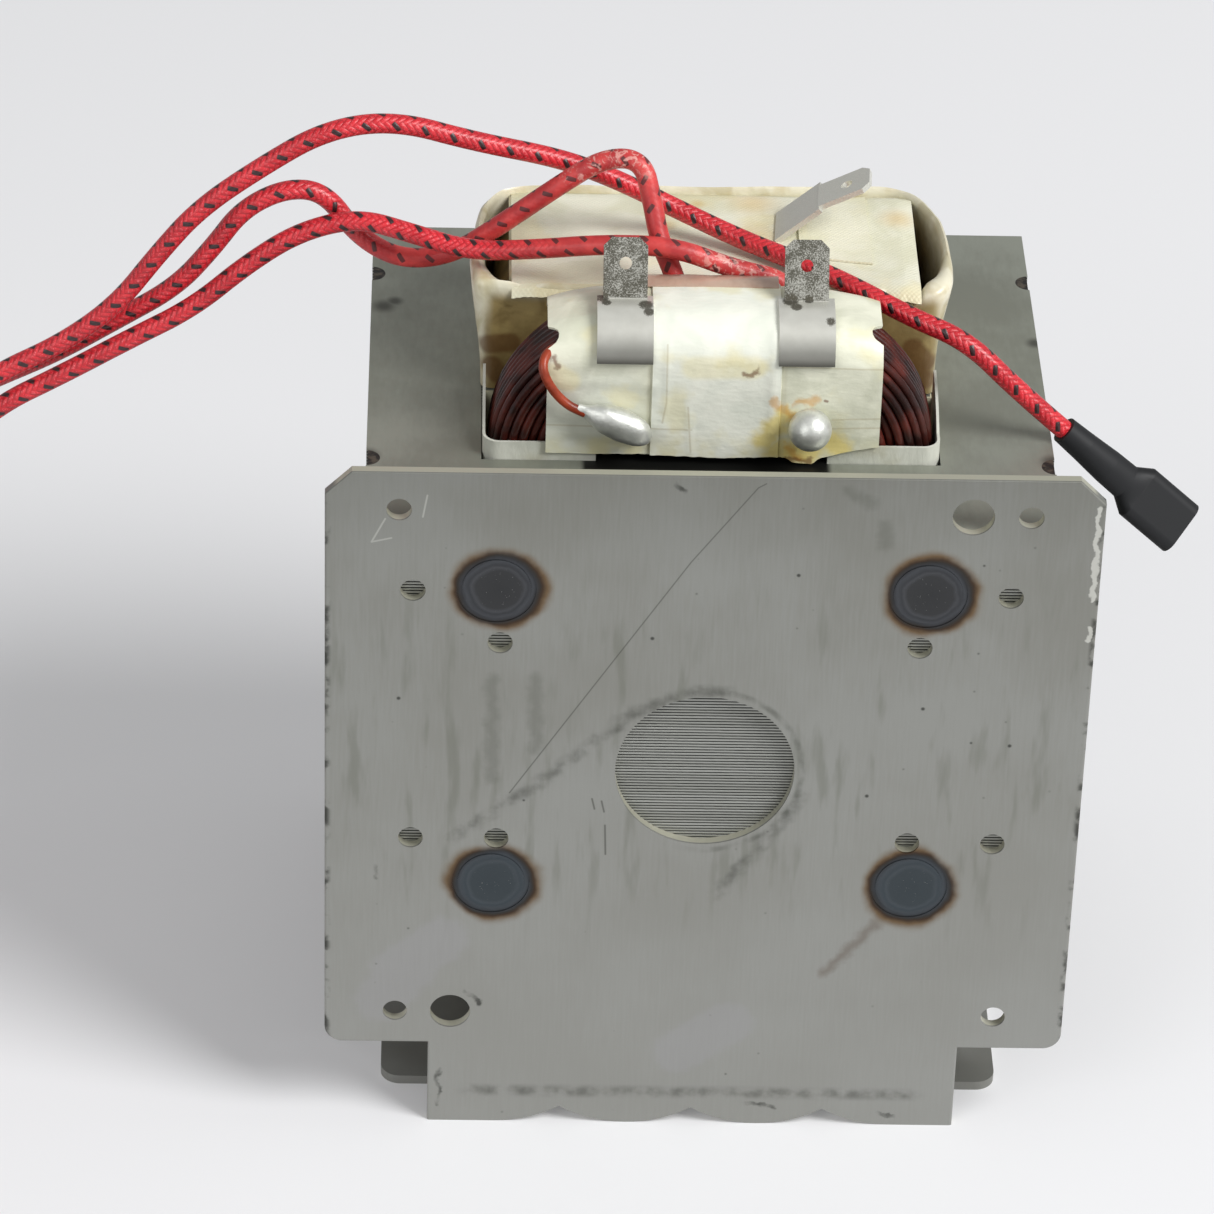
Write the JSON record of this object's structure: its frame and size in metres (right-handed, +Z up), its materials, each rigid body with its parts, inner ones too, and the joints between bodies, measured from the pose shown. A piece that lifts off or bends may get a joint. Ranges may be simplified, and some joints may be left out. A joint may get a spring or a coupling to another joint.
{
  "type": "high voltage transformer",
  "caption": "Shell-type lamination-stack transformer with square mounting plate, angled foot, taped windings, spade terminals and braided heater leads.",
  "frame": {"origin": "centre of the base on the floor: bottom centre of the box round the transformer without its two free leads", "axes": "+Z up, -Y out of the front of the mounting plate, +X to the right seen from the plate"},
  "size_m": [0.2606, 0.0925, 0.1463],
  "materials": {
    "plate_steel": "bare grey steel sheet with scuffs",
    "lamination_steel": "grey coated laminations, edge on",
    "weld_metal": "dark heat-tinted weld bead",
    "enamelled_copper": "dark red-brown enamel on copper wire",
    "cream_paper": "waxy cream insulating paper",
    "white_paper": "white fibre paper",
    "resin_sheet": "translucent resin-stiff sheet",
    "tinned_brass": "tin plate with dark specks",
    "solder": "satin solder",
    "copper_wire": "enamelled copper",
    "red_braid": "varnished red glass braid with black tracers",
    "black_sleeve": "matt black shrink sleeve"
  },
  "bodies": {
    "root": {"base_plate": "plate_steel", "core_bar": "lamination_steel", "core_e_stack": "lamination_steel", "foot_bracket": "plate_steel", "weld_seam_front_left": "weld_metal", "weld_seam_front_right": "weld_metal", "weld_seam_rear_left": "weld_metal", "weld_seam_rear_right": "weld_metal", "primary_winding": "enamelled_copper", "primary_liner_left": "white_paper", "primary_liner_right": "white_paper", "primary_wrap": "cream_paper", "primary_terminal_left": "tinned_brass", "primary_terminal_right": "tinned_brass", "solder_ball": "solder", "solder_drop": "solder", "primary_wire_end": "copper_wire", "heater_winding": "red_braid", "magnetic_shunt_left": "lamination_steel", "magnetic_shunt_right": "lamination_steel", "shunt_paper_left": "cream_paper", "shunt_paper_right": "cream_paper", "secondary_winding": "enamelled_copper", "secondary_wrap": "cream_paper", "secondary_shell": "resin_sheet", "high_voltage_terminal": "tinned_brass", "heater_lead_looped": "red_braid", "receptacle_sleeve_looped": "black_sleeve", "receptacle_looped": "tinned_brass", "heater_lead_short": "red_braid", "receptacle_sleeve_short": "black_sleeve", "receptacle_short": "tinned_brass"}
  },
  "joints": []
}
